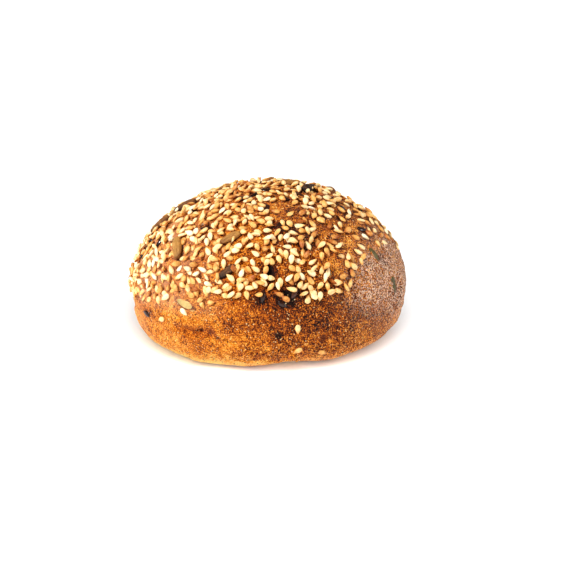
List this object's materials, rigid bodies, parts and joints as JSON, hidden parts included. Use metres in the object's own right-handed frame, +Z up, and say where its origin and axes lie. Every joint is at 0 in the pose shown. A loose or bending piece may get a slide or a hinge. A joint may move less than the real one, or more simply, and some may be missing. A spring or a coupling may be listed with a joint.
{
  "type": "bread roll",
  "caption": "Round domed bread roll with a browned, pitted crust, a tilted cap of sesame, sunflower, linseed and pumpkin seeds, and a small flat base.",
  "frame": {"origin": "on the surface the roll rests on, under the centre of its bounding box", "axes": "+X across the roll's widest way, -Y its front, where the seed cap's edge dips lower on the left, and +Z up"},
  "size_m": [0.1011, 0.0906, 0.0606],
  "materials": {
    "crust": "satin",
    "sunflower_kernel": "matte",
    "pumpkin_seed": "satin",
    "linseed": "gloss",
    "sesame_seed": "satin"
  },
  "bodies": {
    "root": {"loaf": "crust", "sunflower_kernel_01": "sunflower_kernel", "sunflower_kernel_02": "sunflower_kernel", "sunflower_kernel_03": "sunflower_kernel", "sunflower_kernel_04": "sunflower_kernel", "sunflower_kernel_05": "sunflower_kernel", "sunflower_kernel_06": "sunflower_kernel", "sunflower_kernel_07": "sunflower_kernel", "sunflower_kernel_08": "sunflower_kernel", "sunflower_kernel_09": "sunflower_kernel", "sunflower_kernel_10": "sunflower_kernel", "sunflower_kernel_11": "sunflower_kernel", "sunflower_kernel_12": "sunflower_kernel", "sunflower_kernel_13": "sunflower_kernel", "sunflower_kernel_14": "sunflower_kernel", "pumpkin_seed_01": "pumpkin_seed", "pumpkin_seed_02": "pumpkin_seed", "pumpkin_seed_03": "pumpkin_seed", "pumpkin_seed_04": "pumpkin_seed", "linseed_01": "linseed", "linseed_02": "linseed", "linseed_03": "linseed", "linseed_04": "linseed", "linseed_05": "linseed", "linseed_06": "linseed", "linseed_07": "linseed", "linseed_08": "linseed", "linseed_09": "linseed", "linseed_10": "linseed", "linseed_11": "linseed", "linseed_12": "linseed", "linseed_13": "linseed", "linseed_14": "linseed", "linseed_15": "linseed", "linseed_16": "linseed", "linseed_17": "linseed", "linseed_18": "linseed", "linseed_19": "linseed", "linseed_20": "linseed", "linseed_21": "linseed", "linseed_22": "linseed", "linseed_23": "linseed", "linseed_24": "linseed", "linseed_25": "linseed", "linseed_26": "linseed", "sesame_seed_01": "sesame_seed", "sesame_seed_02": "sesame_seed", "sesame_seed_03": "sesame_seed", "sesame_seed_04": "sesame_seed", "sesame_seed_05": "sesame_seed", "sesame_seed_06": "sesame_seed", "sesame_seed_07": "sesame_seed", "sesame_seed_08": "sesame_seed", "sesame_seed_09": "sesame_seed", "sesame_seed_10": "sesame_seed", "sesame_seed_11": "sesame_seed", "sesame_seed_12": "sesame_seed"}
  },
  "joints": []
}
